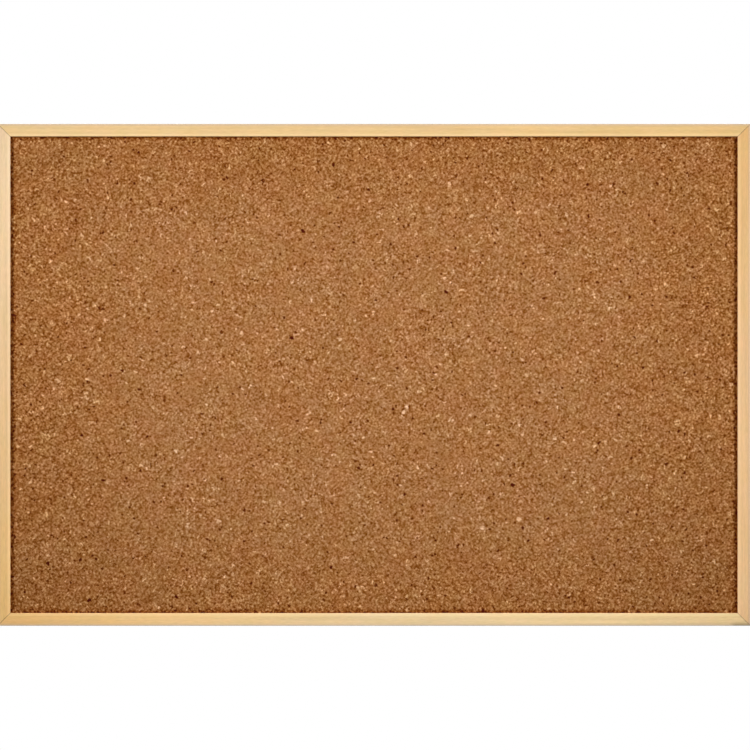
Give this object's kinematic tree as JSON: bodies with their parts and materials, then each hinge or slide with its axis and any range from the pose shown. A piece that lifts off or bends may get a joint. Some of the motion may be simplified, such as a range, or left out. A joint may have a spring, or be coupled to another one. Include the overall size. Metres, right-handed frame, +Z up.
{
  "type": "cork board",
  "caption": "Framed cork notice board: a cork sheet on softboard and hardboard in mitred wooden rails, hung on the wall by swinging wire rings behind.",
  "frame": {"origin": "centre of the box round the whole board, pads included", "axes": "+X to the right along the board seen from the front, +Y from the cork towards the wall, +Z up"},
  "size_m": [0.9, 0.024, 0.6],
  "materials": {
    "pine": "satin",
    "cork": "matte",
    "softboard": "matte",
    "hardboard": "satin",
    "fixing_steel": "satin",
    "hanger_steel": "satin",
    "pad_rubber": "matte"
  },
  "bodies": {
    "board": {"cork_sheet": "cork", "softboard_core": "softboard", "hardboard_back": "hardboard", "top_rail": "pine", "bottom_rail": "pine", "left_rail": "pine", "right_rail": "pine", "top_point_1": "fixing_steel", "top_point_2": "fixing_steel", "top_point_3": "fixing_steel", "top_point_4": "fixing_steel", "bottom_point_1": "fixing_steel", "bottom_point_2": "fixing_steel", "bottom_point_3": "fixing_steel", "bottom_point_4": "fixing_steel", "left_point_1": "fixing_steel", "left_point_2": "fixing_steel", "right_point_1": "fixing_steel", "right_point_2": "fixing_steel", "top_left_v_nail_outer": "fixing_steel", "top_left_v_nail_inner": "fixing_steel", "top_right_v_nail_outer": "fixing_steel", "top_right_v_nail_inner": "fixing_steel", "bottom_left_v_nail_outer": "fixing_steel", "bottom_left_v_nail_inner": "fixing_steel", "bottom_right_v_nail_outer": "fixing_steel", "bottom_right_v_nail_inner": "fixing_steel", "top_left_pad": "pad_rubber", "top_right_pad": "pad_rubber", "bottom_left_pad": "pad_rubber", "bottom_right_pad": "pad_rubber", "left_hanger_strap": "hanger_steel", "left_hanger_screw": "hanger_steel", "right_hanger_strap": "hanger_steel", "right_hanger_screw": "hanger_steel"},
    "left_ring": {"left_hanger_ring": "hanger_steel"},
    "right_ring": {"right_hanger_ring": "hanger_steel"}
  },
  "joints": [
    {"name": "left_ring_swing", "type": "hinge", "parent": "board", "child": "left_ring", "pos_m": [-0.4432, 0.00985, 0.22], "axis": [1, 0, 0], "range_deg": [0, 180]},
    {"name": "right_ring_swing", "type": "hinge", "parent": "board", "child": "right_ring", "pos_m": [0.4432, 0.00985, 0.22], "axis": [1, 0, 0], "range_deg": [0, 180]}
  ]
}
